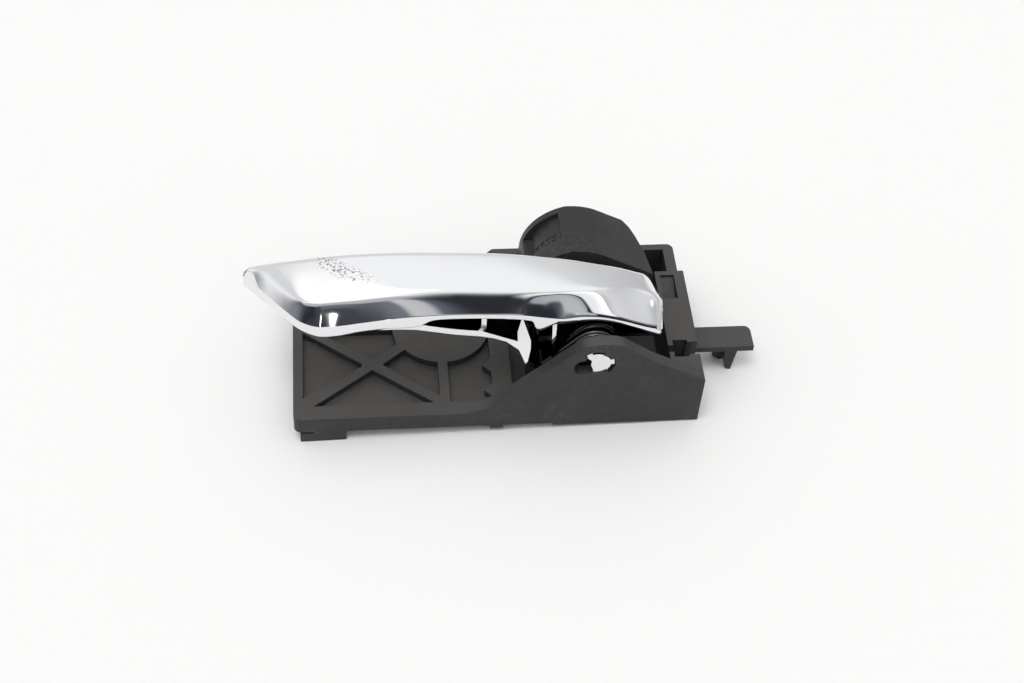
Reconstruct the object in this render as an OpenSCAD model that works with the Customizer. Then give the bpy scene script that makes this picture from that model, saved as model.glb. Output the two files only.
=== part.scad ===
// Interior door handle of a car: a moulded housing that is screwed to the door,
// a plated pull lever and a lock knob, both turning on one axis.
// Sizes are in millimetres. Inside the modules x runs along the housing from its left end,
// y runs back from its front face and z rises from its back plane.
// placed() then moves the origin to the screw hole, on the back plane.

/* [Housing] */
// Length of the housing without its end tab
base_l = 116; // [110:1:122]
// Depth of the housing from front face to rear face
base_w = 54; // [50:1:60]
// Height of the low plate with its ribs
plate_h = 5.8; // [5:0.2:7]
// Depth of the pockets between the ribs
pocket_d = 2.2; // [1:0.2:2.6]
// Depth of the recess under the low plate
under_d = 1.4; // [0.6:0.2:1.6]
// Thickness of the walls at the ends, rear and bottom
wall_t = 2.2; // [1.6:0.2:2.6]
// Thickness of the front wall, which carries the lever's trunnion
front_t = 3.5; // [2.8:0.1:3.6]
// Height of the box walls at the right
box_h = 17; // [16:0.5:18]
// How far the box floor stands below the back plane
skid_d = 0.8; // [0.4:0.1:1.2]
// Radius of the housing's upright corners
corner_r = 2; // [1:0.5:3]

/* [Screw] */
// Screw hole's distance from the left end
screw_x = 43.4; // [42:0.2:45]
// Screw hole's distance from the front face
screw_y = 33.8; // [32:0.2:35]
// Radius of the screw hole
screw_r = 2.6; // [2:0.1:3.2]
// Radius of the round pad about the screw hole
pad_r = 14.4; // [12:0.2:15]
// Radius of the seat for the screw's head
head_r = 6; // [5:0.2:8]
// Depth of the seat for the screw's head
head_d = 1.2; // [0.6:0.2:2]

/* [Ribs] */
// Width of the ribs that cross on the low plate
rib_w = 3; // [2:0.2:4]
// Width of the left edge rib
edge_w = 2.8; // [2:0.2:4]
// Width of the front edge rib
front_rib = 4.7; // [4:0.1:6]
// Where the ribs cross, from the left end
cross_x = 22.7; // [21:0.1:24]
// Where the ribs cross, from the front face
cross_y = 19.2; // [18:0.1:20]

/* [Pivot] */
// Pivot's distance from the right end
pivot_end = 31.5; // [31:0.1:32]
// Pivot's height above the back plane
pivot_z = 25.8; // [25:0.1:27]
// Radius of the front wall's top about the pivot
ear_r = 8.2; // [7.4:0.1:9]
// Radius of the rear ear about the pin
rear_ear_r = 4.4; // [3.8:0.1:5]
// Thickness of the rear ear
rear_ear_t = 3.2; // [2.6:0.1:3.6]
// Radius of the steel pin
pin_r = 2; // [1.6:0.1:2.4]
// Radius of the lever's trunnion
trunnion_r = 3.9; // [3.4:0.1:4.1]
// Running gap between a shaft and its hole
run_gap = 0.05; // [0.02:0.01:0.08]
// Gap between faces that turn beside each other
side_gap = 0.3; // [0.2:0.05:0.5]

/* [Lever] */
// Reach of the lever from the pivot to its tip
lever_reach = 96.5; // [90:0.5:100]
// Reach of the lever beyond the pivot
lever_tail = 18.9; // [18:0.1:19.4]
// Front edge of the lever
lever_y = 7.3; // [7.1:0.1:8.2]
// Rear edge of the lever
lever_back = 24.6; // [23:0.1:25.4]
// Height of the lip along the middle of the lever's lower edge
lip_h = 2.3; // [1.8:0.1:2.8]
// Width of the slope between the lip and the crease
bevel_w = 3.6; // [3:0.1:5]
// Rise of the lever's top between crease and rear edge
crown = 0.6; // [0.2:0.1:1.2]
// Radius of the lever's rear upper edge
far_r = 2.2; // [1.5:0.1:3]
// Wall of the lever's hollow part
shell_t = 2.4; // [2:0.1:3]
// Thickness of the flange on the finger side
flange_t = 2.2; // [1.6:0.1:2.6]
// Radius of the lever's hub
hub_r = 8; // [7:0.1:8.2]
// Thickness of the lever's middle web
web_t = 2.4; // [2:0.1:3.2]

/* [Lock knob] */
// Radius of the knob's drum about the pivot
drum_r = 17; // [16:0.1:17.2]
// Height of the drum's highest line above the pivot
knob_top = 15.6; // [15.2:0.1:16]
// Slope of the ramp right of the drum
ramp_angle = 29; // [26:1:31]
// Reach of the ramp beyond the pivot
ramp_reach = 18.9; // [17:0.1:19]
// Thickness of the knob's skin
skin_t = 2; // [1.6:0.1:2.4]
// Depth of the thumb recess
thumb_d = 1.8; // [1:0.1:2]
// Length of the sleeve between the lever's hub and the knob
sleeve_l = 3.2; // [2:0.1:4]

/* [Springs and stops] */
// Thickness of the return spring's wire
wire_d = 1; // [0.8:0.1:1.1]
// Turns of the return spring
spring_turns = 3; // [2:1:3]
// Radius of the return spring at its wire's middle
spring_r = 5.6; // [5.4:0.1:6]
// Thickness of the detent leaf
leaf_t = 0.6; // [0.4:0.1:0.8]
// Width of the detent leaf
leaf_w = 5; // [4:0.5:6]
// Radius of the rubber stop under the lever
stop_r = 3.2; // [2.8:0.1:3.6]

/* [End tab and hooks] */
// Length of the tab beyond the right end
tab_l = 18.3; // [16:0.1:20]
// Width of the tab
tab_w = 8; // [6:0.5:9]
// Thickness of the tab
tab_t = 2; // [1.6:0.1:2.4]
// Height of the tab's upper face
tab_z = 10; // [9:0.5:11]
// Length of the hooks under the left end
hook_l = 13; // [11:0.5:14]
// How far the hooks reach below the back plane
hook_d = 4.3; // [3.6:0.1:4.6]
// Gap in a hook for the edge of the door panel
hook_gap = 1; // [0.8:0.1:1.4]
// Radius of the cable seats
cable_r = 2.3; // [2:0.1:2.5]

/* [Hidden] */
$fn = 48;
// Small overlap that makes cuts run clean through a face
eps = 0.2;

// Pivot, and the box at the right of the housing, open above
pivot_x = base_l - pivot_end;
box_run = 21.8;
box_x = pivot_x - box_run;
slot_x = box_x + 1.8;
slot_y = 11.4;
end_t = 8.7;
box_end = base_l - end_t;
floor_t = 1.8;
floor_z = floor_t - skid_d;
rear_y = base_w - wall_t;
step_y = 43;
step_in = 1.5;
rear_h = 16.2;
rear_run = 2.5;
chamfer_l = 1.8;
skid_in = 11;

// Front wall's outline about the pivot
ear_flat = 3;
rise_angle = 45.5;
foot_r = 20;
shoulder_x = base_l - 16;
shoulder_z = 26.5;
fall_extra = 5;
foot_in = 7;
foot_x = box_x - foot_in;
foot_l = 3.8;
foot_d = 1.3;

// Places along the pin, from front to rear
flange_y = lever_y + 0.7;
hub_end = lever_back - 0.2;
hub_face = 0.4;
ear_face = 0.8;
washer_t = 1.2;
knob_y = hub_end + sleeve_l + side_gap + hub_face;
ear_y = rear_y - rear_ear_t;
knob_end = ear_y - side_gap - washer_t - ear_face;
knob_w = knob_end - knob_y;
pin_start = 15;
pull_t = 5;
pin_head_r = 3.4;
pin_head_t = 1.3;
washer_r = 5.2;
hub_bore_r = pin_r + run_gap;

function point_at(c, r, a) = [c[0] + r * cos(a), c[1] + r * sin(a)];
function arc(c, r, a, b, n) = [for (i = [0 : n]) point_at(c, r, a + (b - a) * i / n)];

// Smooth curve through the points of a list, read at one place along it
function seg(p, x, i = 0) = i >= len(p) - 2 || x < p[i + 1][0] ? i : seg(p, x, i + 1);
function steep(p, i) =
    let (a = max(i - 1, 0), b = min(i + 1, len(p) - 1))
    (p[b][1] - p[a][1]) / (p[b][0] - p[a][0]);
function bend(t, a, b, ma, mb) =
    (2 * t ^ 3 - 3 * t ^ 2 + 1) * a + (t ^ 3 - 2 * t ^ 2 + t) * ma
    + (3 * t ^ 2 - 2 * t ^ 3) * b + (t ^ 3 - t ^ 2) * mb;
function curve(p, x) =
    let (i = seg(p, x), w = p[i + 1][0] - p[i][0])
    bend((x - p[i][0]) / w, p[i][1], p[i + 1][1], steep(p, i) * w, steep(p, i + 1) * w);

module placed() {
    translate([-screw_x, -screw_y, 0])
        children();
}

// A profile drawn in x and z, drawn out along y
module along_y(a, b) {
    translate([0, b, 0])
        rotate([90, 0, 0])
            linear_extrude(b - a)
                children();
}

// A profile drawn in y and z, drawn out along x
module along_x(a, b) {
    translate([a, 0, 0])
        rotate([90, 0, 90])
            linear_extrude(b - a)
                children();
}

// A round bar on the pivot axis
module on_axis(a, b, r) {
    translate([pivot_x, b, pivot_z])
        rotate([90, 0, 0])
            cylinder(r = r, h = b - a);
}

// Housing
module low_plate_outline() {
    difference() {
        square([box_x, base_w]);
        difference() {
            square(corner_r);
            translate([corner_r, corner_r])
                circle(corner_r);
        }
        translate([0, base_w - corner_r])
            difference() {
                square(corner_r);
                translate([corner_r, 0])
                    circle(corner_r);
            }
    }
}

// Pockets between the ribs that cross before the screw's pad
rear_rib_y = cross_y + 13.1;
stem_x = screw_x - 1.7;
ring_in = 10.7;
ring_out = 5.6;

module left_pocket() {
    polygon([
        [edge_w, front_rib + rib_w],
        [cross_x - rib_w, cross_y - rib_w / 6],
        [cross_x - rib_w, cross_y + rib_w / 6],
        [edge_w, rear_rib_y]
    ]);
}

module front_pocket() {
    polygon([
        [edge_w + rib_w, front_rib],
        [cross_x, cross_y - rib_w / 1.6],
        [screw_x - rib_w * 1.2, front_rib]
    ]);
}

module rear_pocket() {
    polygon([
        [edge_w + rib_w * 1.4, rear_rib_y],
        [cross_x, cross_y + rib_w / 1.4],
        [screw_x - pad_r + rib_w / 3, screw_y - pad_r / 2],
        [screw_x - pad_r, rear_rib_y]
    ]);
}

module ring_pocket() {
    polygon([
        [cross_x + rib_w, cross_y],
        [stem_x, front_rib + rib_w * 0.8],
        [stem_x, screw_y],
        [screw_x - ring_in, cross_y + ring_out]
    ]);
}

pocket_end = box_x - 5.7;
pocket_start = screw_x + 1.1;

module right_pocket() {
    difference() {
        translate([pocket_start, front_rib])
            square([pocket_end - pocket_start, screw_y - front_rib - rib_w]);
        translate([pocket_end, cross_y - rib_w / 2])
            rotate(45)
                square(rib_w * 1.2, center = true);
        translate([pocket_end, front_rib + rib_w * 1.2])
            rotate(45)
                square(rib_w * 1.2, center = true);
    }
}

rear_field_y = screw_y + rib_w / 2;
rear_field_h = base_w - edge_w - rear_field_y;

module rear_field() {
    translate([edge_w, rear_field_y])
        square([cross_x - edge_w - rib_w / 2, rear_field_h]);
    translate([cross_x + rib_w / 2, rear_field_y])
        square([pocket_end - cross_x - rib_w / 2, rear_field_h]);
}

module plate_pockets() {
    translate([0, 0, plate_h - pocket_d])
        linear_extrude(pocket_d + eps)
            difference() {
                union() {
                    left_pocket();
                    front_pocket();
                    rear_pocket();
                    ring_pocket();
                    right_pocket();
                    rear_field();
                }
                translate([screw_x, screw_y])
                    circle(pad_r);
                translate([screw_x - rib_w / 2, screw_y])
                    square([rib_w, base_w]);
            }
}

module low_plate() {
    difference() {
        linear_extrude(plate_h)
            low_plate_outline();
        plate_pockets();
        difference() {
            translate([wall_t, front_t, -eps])
                cube([box_x - 2 * wall_t, base_w - front_t - wall_t, under_d + eps]);
            translate([screw_x, screw_y, -eps])
                cylinder(r = head_r, h = under_d + 2 * eps);
            translate([screw_x - rib_w / 2, front_t, -eps])
                cube([rib_w, base_w, under_d + 2 * eps]);
            translate([cross_x - rib_w / 2, front_t, -eps])
                cube([rib_w, base_w, under_d + 2 * eps]);
        }
    }
}

// Front wall, with its hump about the pivot
rise_top = point_at([pivot_x, pivot_z], ear_r, 90 + rise_angle);
rise_foot = rise_top[0] - (rise_top[1] - plate_h) / tan(rise_angle);
foot_run = foot_r * tan(rise_angle / 2);
ear_right = [pivot_x + ear_flat, pivot_z];
fall_angle = atan2(pivot_z + ear_r - shoulder_z, shoulder_x - ear_right[0]) + fall_extra;

module front_outline() {
    polygon(concat(
        [[0, 0], [0, plate_h], [rise_foot - foot_run, plate_h]],
        arc([rise_foot - foot_run, plate_h + foot_r], foot_r, -90, rise_angle - 90, 8),
        [rise_top],
        arc([pivot_x, pivot_z], ear_r, 90 + rise_angle, 90, 8),
        arc(ear_right, ear_r, 90, 90 - fall_angle, 6),
        [[shoulder_x, shoulder_z], [base_l, box_h], [base_l, -skid_d]],
        [[box_x + skid_in, -skid_d], [box_x + skid_in, 0]]
    ));
}

module front_wall() {
    difference() {
        along_y(0, front_t)
            front_outline();
        translate([0, 0, -eps])
            difference() {
                translate([-eps, -eps, 0])
                    cube([corner_r + eps, corner_r + eps, plate_h + 2 * eps]);
                translate([corner_r, corner_r, 0])
                    cylinder(r = corner_r, h = plate_h + 2 * eps);
            }
    }
    translate([foot_x, 0, -foot_d])
        cube([foot_l, front_t, foot_d + eps]);
}

// Floor of the box that holds the arms, springs and stops, with a window under each arm
window_x = pivot_x - 9;
window_l = 20;
window_w = 9;
leaf_y = knob_y + 2;
rear_gap = ear_y - leaf_y - leaf_w;
rear_window_x = pivot_x - 6;
rear_window_y = leaf_y + leaf_w + rear_gap / 4;

module box_floor() {
    difference() {
        translate([box_x - wall_t, 0, -skid_d])
            cube([base_l - box_x + wall_t, base_w, floor_t]);
        translate([box_x - wall_t - eps, -eps, -skid_d - eps])
            cube([wall_t + skid_in + eps, base_w + 2 * eps, skid_d + eps]);
        translate([window_x, front_t + wall_t, -skid_d - eps])
            cube([window_l, window_w, floor_t + 2 * eps]);
        translate([rear_window_x, rear_window_y, -skid_d - eps])
            cube([window_x + window_l - rear_window_x, rear_gap * 2 / 3, floor_t + 2 * eps]);
        translate([base_l - step_in, step_y, -skid_d - eps])
            cube([step_in + eps, base_w, floor_t + 2 * eps]);
    }
}

module rear_wall() {
    along_y(rear_y, base_w)
        polygon([
            [box_x - wall_t, -skid_d],
            [box_x - wall_t, 0],
            [box_x - wall_t - rear_run, 0],
            [box_x - wall_t - rear_run, rear_h - chamfer_l],
            [box_x - wall_t - rear_run + chamfer_l, rear_h],
            [base_l - step_in - corner_r, rear_h],
            [base_l - step_in, rear_h - corner_r / 2],
            [base_l - step_in, -skid_d]
        ]);
}

module rear_ear() {
    along_y(ear_y, base_w) {
        translate([pivot_x, pivot_z])
            circle(rear_ear_r);
        translate([pivot_x - rear_ear_r, -skid_d])
            square([2 * rear_ear_r, pivot_z + skid_d]);
    }
}

// Right end: a cored block with the lever cable's seat before it and a sloping panel behind it
block_y = 15;
block_end = 30;
panel_end = 42;
seat_y = 12.2;
seat_z = 11;
ferrule_w = 6.2;
ferrule_l = 4.2;
thin_wall = 1.4;
wire_w = 2.4;
lock_y = knob_y + 7.7;
lock_z = 9;
bay_t = 4.7;
bay_x = base_l - bay_t;
panel_in = 3.1;
panel_low = 5;
panel_high = 1;

module end_block() {
    translate([box_end, 0, -skid_d])
        cube([end_t, block_end, box_h + skid_d]);
    translate([box_end, block_end - eps, -skid_d])
        cube([end_t, panel_end - block_end + 2 * eps, box_h + skid_d]);
    translate([bay_x, panel_end, -skid_d])
        cube([base_l - bay_x, step_y - panel_end, rear_h + skid_d]);
    translate([bay_x, step_y - eps, -skid_d])
        cube([base_l - step_in - bay_x, base_w - step_y + eps, rear_h + skid_d]);
}

module end_cuts() {
    translate([box_end + thin_wall, seat_y - ferrule_w / 2, seat_z - ferrule_w / 2])
        cube([ferrule_l, ferrule_w, box_h]);
    translate([box_end - eps, seat_y - wire_w / 2, seat_z - wire_w / 2])
        cube([thin_wall + 2 * eps, wire_w, box_h]);
    translate([box_end + thin_wall, seat_y, seat_z])
        rotate([0, 90, 0])
            cylinder(r = cable_r, h = end_t);
    translate([box_end + thin_wall, seat_y - cable_r, seat_z])
        cube([end_t, 2 * cable_r, box_h]);
    translate([box_end + wall_t, block_y + wall_t, -skid_d - eps])
        cube([end_t - 2 * wall_t, block_end - block_y - 2 * wall_t, box_h - wall_t]);
    along_x(box_end + thin_wall, base_l - panel_in)
        polygon([
            [block_end + thin_wall, box_h + eps],
            [block_end + thin_wall, box_h - panel_low],
            [panel_end - thin_wall, box_h - panel_high],
            [panel_end - thin_wall, box_h + eps]
        ]);
    translate([box_end - eps, lock_y, lock_z])
        rotate([0, 90, 0])
            cylinder(r = cable_r, h = end_t + 2 * eps);
    translate([base_l - step_in - corner_r, base_w - corner_r, -skid_d - eps])
        difference() {
            cube([corner_r + eps, corner_r + eps, 2 * box_h]);
            cylinder(r = corner_r, h = 2 * box_h);
        }
}

// Hooks under the left end that slide behind the edge of the door panel
hook_x = 1.7;
hook_w = 4;
hook_root = 9.2;

module hook(y) {
    along_y(y, y + hook_w)
        polygon([
            [hook_x, -hook_d],
            [hook_x, -hook_gap],
            [hook_x + hook_l - hook_root, -hook_gap],
            [hook_x + hook_l - hook_root, eps],
            [hook_x + hook_l, eps],
            [hook_x + hook_l, -hook_d]
        ]);
}

// Tab at the right end with two spring prongs under it
tab_y = 17.8;
prong_tip = -0.8;
prong_x = 9.9;
prong_w = 4;
prong_tip_w = 1.7;
prong_t = 3;
prong_in = 0.5;
prong_hook = 1.6;

module end_tab() {
    tab_z0 = tab_z - tab_t;
    translate([base_l - eps, tab_y, tab_z0])
        cube([tab_l - corner_r + eps, tab_w, tab_t]);
    translate([base_l + tab_l - corner_r - eps, tab_y, tab_z0])
        cube([corner_r + eps, tab_w - corner_r, tab_t]);
    translate([base_l + tab_l - corner_r, tab_y + tab_w - corner_r, tab_z0])
        cylinder(r = corner_r, h = tab_t);
    along_y(tab_y + prong_in, tab_y + prong_in + prong_t)
        polygon([
            [base_l + prong_x, tab_z0 + eps],
            [base_l + prong_x + (prong_w - prong_tip_w) / 2, prong_tip + prong_hook / 2],
            [base_l + prong_x + prong_w / 2, prong_tip],
            [base_l + prong_x + (prong_w + prong_tip_w) / 2, prong_tip],
            [base_l + prong_x + prong_w, tab_z0 + eps]
        ]);
    along_y(tab_y + tab_w - prong_in - prong_t, tab_y + tab_w - prong_in)
        polygon([
            [base_l + prong_x - prong_w / 2, tab_z0 + eps],
            [base_l + prong_x - prong_w / 2, prong_tip + prong_hook],
            [base_l + prong_x, prong_tip],
            [base_l + prong_x + prong_w / 3, prong_tip],
            [base_l + prong_x + prong_w / 2, tab_z0 + eps]
        ]);
}

// Posts and ribs inside the box
stop_x = pivot_x - 14;
stop_y = seat_y + pull_t / 2 + stop_r + 2 * side_gap;
stop_post_r = 1.8;
stop_top = 13.9;
stop_t = 5;
stop_skin = 1;
leg_x = pivot_x + spring_r;
leg_rib = 1.8;
leg_rib_h = 10;
leaf_x = pivot_x - 9;
leaf_l = 18;
leaf_rib = 1.6;
leaf_rib_h = 3;
knob_stop_y = leaf_y + leaf_w + rear_gap * 0.23;

module box_posts() {
    translate([stop_x, stop_y, floor_z - eps])
        cylinder(r = stop_post_r, h = stop_top - stop_skin - floor_z);
    translate([stop_x, stop_y, floor_z - eps])
        cylinder(r = stop_r, h = stop_top - stop_t - floor_z);
    translate([leg_x - wire_d / 2 - leg_rib, front_t - eps, floor_z - eps])
        cube([leg_rib, wire_d + 1.2, leg_rib_h]);
    for (x = [leaf_x - leaf_rib, leaf_x + leaf_l])
        translate([x, leaf_y - 0.5, floor_z - eps])
            cube([leaf_rib, leaf_w + 1, leaf_rib_h]);
}

// Opening in the front wall: the trunnion's bearing with a lobe at its left, and a shallow
// seat in which the trunnion's two wings swing
lobe_x = 3.4;
lobe_z = 1.4;
lobe_r = 3;
wing_r = 4.8;
wing_t = 0.9;
wing_swing = 38;
wing_angles = [[112, 134], [-6, 22]];
trunnion_y = 0.4;

module wedge(a, b) {
    polygon([[0, 0], point_at([0, 0], 2 * wing_r, a), point_at([0, 0], 2 * wing_r, b)]);
}

module keyhole() {
    along_y(-eps, front_t + eps) {
        translate([pivot_x, pivot_z])
            circle(trunnion_r + run_gap);
        translate([pivot_x - lobe_x, pivot_z - lobe_z])
            circle(lobe_r);
    }
    along_y(-eps, trunnion_y + wing_t + side_gap)
        translate([pivot_x, pivot_z])
            intersection() {
                circle(wing_r + side_gap);
                for (w = wing_angles)
                    wedge(w[0] - wing_swing - 4, w[1] + 4);
            }
}

module housing() {
    color("#3b3a3d")
        placed()
            difference() {
                union() {
                    low_plate();
                    front_wall();
                    box_floor();
                    rear_wall();
                    rear_ear();
                    end_block();
                    hook(0);
                    hook(base_w - hook_w);
                    end_tab();
                    box_posts();
                    translate([screw_x, screw_y, 0])
                        cylinder(r = head_r, h = plate_h);
                }
                keyhole();
                on_axis(ear_y - eps, base_w + eps, pin_r + run_gap / 2);
                end_cuts();
                translate([slot_x, front_t, floor_z])
                    cube([box_end - slot_x, slot_y - front_t + eps, 3 * box_h]);
                translate([screw_x, screw_y, -eps])
                    cylinder(r = screw_r, h = plate_h + 2 * eps);
                translate([screw_x, screw_y, plate_h - head_d])
                    cylinder(r = head_r, h = head_d + eps);
            }
}

// Lever
tail = lever_tail / lever_reach;
// Each point is [share of the reach from the pivot, height above the pivot]
ridge_line = [
    [-1, 14.6], [-0.99, 16.3], [-0.97, 17.7], [-0.94, 18.8], [-0.9, 19.7], [-0.85, 20.6],
    [-0.79, 21.5], [-0.72, 22.3], [-0.6, 22.8], [-0.41, 22.3], [-0.26, 21.2], [-0.13, 19.3],
    [-0.06, 18], [0, 16.4], [0.38 * tail, 14.4], [0.66 * tail, 12.4], [0.78 * tail, 11.5],
    [0.87 * tail, 9.7], [tail, 5.6]
];
crease_line = [
    [-1, 13.4], [-0.98, 15], [-0.96, 15.9], [-0.92, 16.2], [-0.81, 16.6], [-0.7, 17.4], [-0.56, 19],
    [-0.42, 19.3], [-0.28, 18.6], [-0.14, 17.9], [-0.06, 17.6], [0, 17], [0.46 * tail, 14.9],
    [0.84 * tail, 12.4], [tail, 10.8]
];
lip_line = [
    [-1, 12.2], [-0.96, 12.8], [-0.92, 12.8], [-0.88, 12.2], [-0.84, 11.3], [-0.79, 10.1],
    [-0.74, 10.3], [-0.67, 11.9],
    [-0.56, 13.6], [-0.45, 14.3], [-0.34, 14.1], [-0.22, 13.2], [-0.15, 11.6], [-0.1, 10.8],
    [-0.04, 11.2], [0.04 * tail, 11.1], [0.35 * tail, 9.6], [0.66 * tail, 7.1],
    [0.9 * tail, 4.9], [tail, 4.4]
];
// Each point is [share of the reach, distance back from the lever's front edge]
front_line = [
    [-1, 17], [-0.993, 16.2], [-0.975, 14.6], [-0.94, 11], [-0.91, 7.7], [-0.88, 4.6],
    [-0.85, 2], [-0.82, 0.7], [-0.78, 0], [0, 0], [0.7 * tail, 0], [0.93 * tail, 0.2],
    [0.97 * tail, 0.5], [tail, 1.2]
];
// Each point is [share of the reach, distance forward from the lever's rear edge]
rear_line = [
    [-1, -0.3], [-0.993, -0.9], [-0.97, -1], [-0.92, -0.5], [-0.8, 0], [0, 0.4],
    [0.8 * tail, 0.7], [0.9 * tail, 1.3], [0.96 * tail, 2.6], [tail, 5.6]
];
// Each point is [share of the reach, share of the slope's normal width]
slope_line = [
    [-1, 0.4], [-0.97, 0.5], [-0.93, 0.75], [-0.8, 0.8], [-0.6, 0.85], [-0.4, 1], [-0.2, 1], [-0.06, 1.15],
    [0.1 * tail, 1.4], [0.6 * tail, 2], [tail, 1.6]
];
// Each point is [share of the reach, share of the lip's normal height]
drop_line = [
    [-1, 1], [-0.96, 1.4], [-0.92, 1.4], [-0.85, 1.35], [-0.79, 1.5], [-0.72, 1.55],
    [-0.65, 1.6], [-0.6, 1.75], [-0.54, 2.05], [-0.505, 1.9], [-0.475, 1.2], [-0.44, 1],
    [-0.1, 0.9], [0.3 * tail, 0.7], [tail, 0.95]
];

function reach(u) = pivot_x + u * lever_reach;
function share(x) = (x - pivot_x) / lever_reach;
function front_at(u) = lever_y + curve(front_line, u);
function rear_at(u) = lever_back - curve(rear_line, u);
function lip_at(u) = pivot_z + curve(lip_line, u);
function low_at(u) = lip_at(u) - lip_h * curve(drop_line, u);
// The slope's greatest share of the width, how softly it meets the deck, and the least top
slope_most = 0.45;
soft_width = 6;
crease_soft = 1.6;
top_least = 0.05;
function soft_min(a, b, k) = (a + b - sqrt((a - b) ^ 2 + k * k)) / 2;
// Height of the lever's top at a share of its length and a distance back
function top_at(u, y) =
    let (
        a = front_at(u),
        b = rear_at(u),
        w = soft_min(bevel_w * curve(slope_line, u), (b - a) * slope_most, 0.5),
        t = (y - a) / (b - a),
        rise = pivot_z + curve(crease_line, u) - lip_at(u),
        deck = pivot_z + curve(crease_line, u)
            + (curve(ridge_line, u) - curve(crease_line, u)) * (y - a - w) / (b - a - w)
            + 4 * crown * t * (1 - t),
        slope = lip_at(u) + rise * (y - a) / w,
        edge = min(far_r, (b - a) / 2),
        over = max(0, y - (b - edge)) / edge,
        soft = crease_soft * min(1, (b - a) / soft_width)
    )
    max(
        lip_at(u) + top_least,
        soft_min(deck, slope, soft) - edge * (1 - sqrt(max(0, 1 - over ^ 2)))
    );

lever_steps = 38;
top_steps = [0, 0.05, 0.1, 0.15, 0.2, 0.25, 0.31, 0.4, 0.52, 0.64, 0.76, 0.86, 0.92, 0.965, 1];
step_u = [for (i = [0 : lever_steps]) -cos(180 * i / lever_steps)];
function station(s) = share(pivot_x - lever_reach + (lever_reach + lever_tail) * (s + 1) / 2);
function section(s) =
    let (
        u = station(s),
        a = front_at(u),
        b = rear_at(u),
        x = reach(u),
        low = low_at(u),
        soft = min(0.7, (b - a) / 4)
    )
    concat(
        [[x, a + soft, low], [x, a, low + soft]],
        [for (t = top_steps) let (y = a + t * (b - a)) [x, y, max(top_at(u, y), low + soft + 0.2)]],
        [[x, b, low + soft], [x, b - soft, low]]
    );

module lever_blade() {
    rings = [for (s = step_u) section(s)];
    n = len(rings[0]);
    m = len(rings);
    polyhedron(
        points = [for (r = rings) each r],
        faces = concat(
            [[for (j = [0 : n - 1]) n - 1 - j]],
            [for (i = [0 : m - 2]) for (j = [0 : n - 1])
                let (k = (j + 1) % n) [i * n + j, i * n + k, (i + 1) * n + k, (i + 1) * n + j]],
            [[for (j = [0 : n - 1]) (m - 1) * n + j]]
        )
    );
}

// Flange on the finger side, from the closed half of the blade down to the stop
flange_line = [
    [-0.66, 9.1], [-0.617, 9.1], [-0.565, 9.1], [-0.514, 8.7], [-0.462, 7.5], [-0.41, 6.3],
    [-0.358, 5.5], [-0.306, 4.5], [-0.253, 2.2], [-0.22, -1.2]
];
flange_steps = 12;
flange_a = flange_line[0][0];
flange_b = flange_line[len(flange_line) - 1][0];
flange_gap = 0.4;
function flange_at(i, rise) =
    let (u = flange_a + (flange_b - flange_a) * i / flange_steps)
    [reach(u), pivot_z + curve(flange_line, u) + rise];
function at_reach(line) = [for (q = line) [reach(q[0]), pivot_z + q[1]]];

// The flange's fang in front of the hub, and its wall up to the blade
// Each point is [share of the reach, height above the pivot]
fang_line = [
    [-0.2, -7.2], [-0.17, -9.2], [-0.145, -10.6], [-0.08, -12.6], [-0.08, -10.8], [-0.14, -9],
    [-0.186, -6.2], [-0.183, -1], [-0.196, 13], [-0.232, 13], [-0.224, 2.4]
];

module finger_flange() {
    along_y(lever_y, lever_back - flange_gap)
        polygon(concat(
            [for (i = [0 : flange_steps]) flange_at(i, 0)],
            at_reach(fang_line),
            [for (i = [flange_steps - 3 : -1 : 0]) flange_at(i, flange_t)]
        ));
}

// Hollow of the lever, open towards the housing
hollow_a = -0.5;
hollow_b = 0.82 * tail;
hollow_steps = 14;
slope_drop = 7.4;
deck_drop = 1.2;

function roof(x) =
    let (u = share(x))
    pivot_z + min(curve(ridge_line, u), curve(crease_line, u)) - shell_t;
function roof_points(drop) = [for (i = [0 : hollow_steps])
    let (x = reach(hollow_a) + (reach(hollow_b) - reach(hollow_a)) * i / hollow_steps)
    [x, roof(x) - drop]];

module hollow_outline(drop) {
    polygon(concat(roof_points(drop), [[reach(hollow_b), pivot_z], [reach(hollow_a), pivot_z]]));
}

module lever_hollow() {
    along_y(lever_y + shell_t, lever_back - shell_t)
        hollow_outline(slope_drop);
    along_y(lever_y + bevel_w + shell_t, lever_back - shell_t)
        hollow_outline(deck_drop);
}

web_y = 15;
web_root = 0.6;
// Each point is [share of the reach, height above the pivot]
web_line = [
    [hollow_b, 2.6], [0, -hub_r], [-0.08, -11.6], [-0.15, -9.6], [-0.19, -4], [-0.236, 1],
    [-0.3, 5.9], [-0.4, 7.9], [hollow_a, 9.9]
];

module lever_web() {
    along_y(web_y, web_y + web_t)
        polygon(concat(roof_points(-web_root), at_reach(web_line)));
}

// Thin ribs across the hollow, as the mould leaves them
rib_t = 1.4;
rib_in = 1.4;
rib_low = 6;
rib_h = 9;
// Each point is [share of the reach, height above the pivot]
cross_rib = [[-0.124, 12], [-0.124, -4], [-0.118, -4], [-0.108, 12]];
tail_rib = [[0.38 * tail, 3.6], [0.9 * tail, 3.2], [0.9 * tail, 2.2], [0.38 * tail, 2.2]];

module lever_ribs() {
    translate([reach(-0.33), lever_y + rib_in, pivot_z + rib_low])
        cube([rib_t, web_y - lever_y, rib_h]);
    along_y(lever_y + rib_in, lever_back - rib_in)
        polygon(at_reach(cross_rib));
    along_y(lever_y + rib_in / 2, lever_back - rib_in)
        polygon(at_reach(tail_rib));
}

flange_disc = 1.8;
barrel_r = 5.4;
shoulder_r = trunnion_r + 0.6;

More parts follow.
